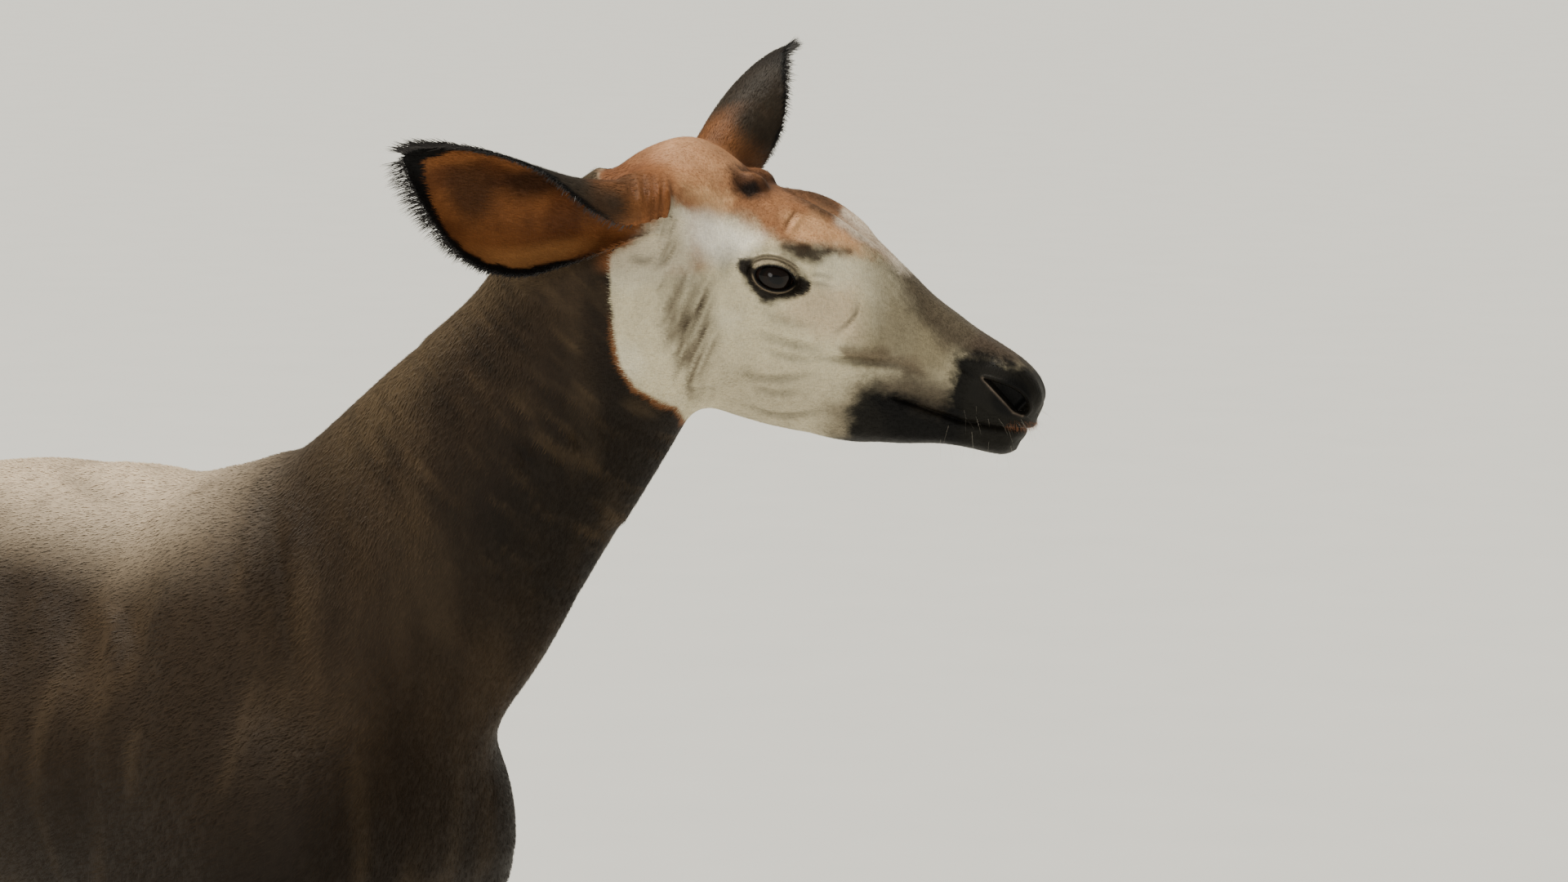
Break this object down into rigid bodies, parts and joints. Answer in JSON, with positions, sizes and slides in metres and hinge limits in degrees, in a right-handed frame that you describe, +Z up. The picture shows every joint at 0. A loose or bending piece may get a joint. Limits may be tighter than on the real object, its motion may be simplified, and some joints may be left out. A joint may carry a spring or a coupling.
{
  "type": "okapi",
  "caption": "Life-size standing okapi cow with her neck stretched forward and her head turned aside, as a still museum model.",
  "frame": {"origin": "on the floor, under the middle of the box round the whole animal", "axes": "+X forward along the trunk, +Y to her left, +Z up"},
  "size_m": [1.923, 0.7753, 1.9863],
  "materials": {
    "coat": "short sleek hair, dark brown, with pale face, striped thighs and white lower legs",
    "eye": "wet, very dark brown",
    "hoof": "worn horn, dark grey brown"
  },
  "bodies": {
    "root": {"torso": "coat", "neck": "coat", "head": "coat", "tail": "coat", "ear_left": "coat", "ear_right": "coat", "leg_front_left": "coat", "leg_front_right": "coat", "leg_hind_left": "coat", "leg_hind_right": "coat", "eye_left": "eye", "eye_right": "eye", "hoof_front_left_outer": "hoof", "hoof_front_left_inner": "hoof", "hoof_front_right_outer": "hoof", "hoof_front_right_inner": "hoof", "hoof_hind_left_outer": "hoof", "hoof_hind_left_inner": "hoof", "hoof_hind_right_outer": "hoof", "hoof_hind_right_inner": "hoof"}
  },
  "joints": []
}
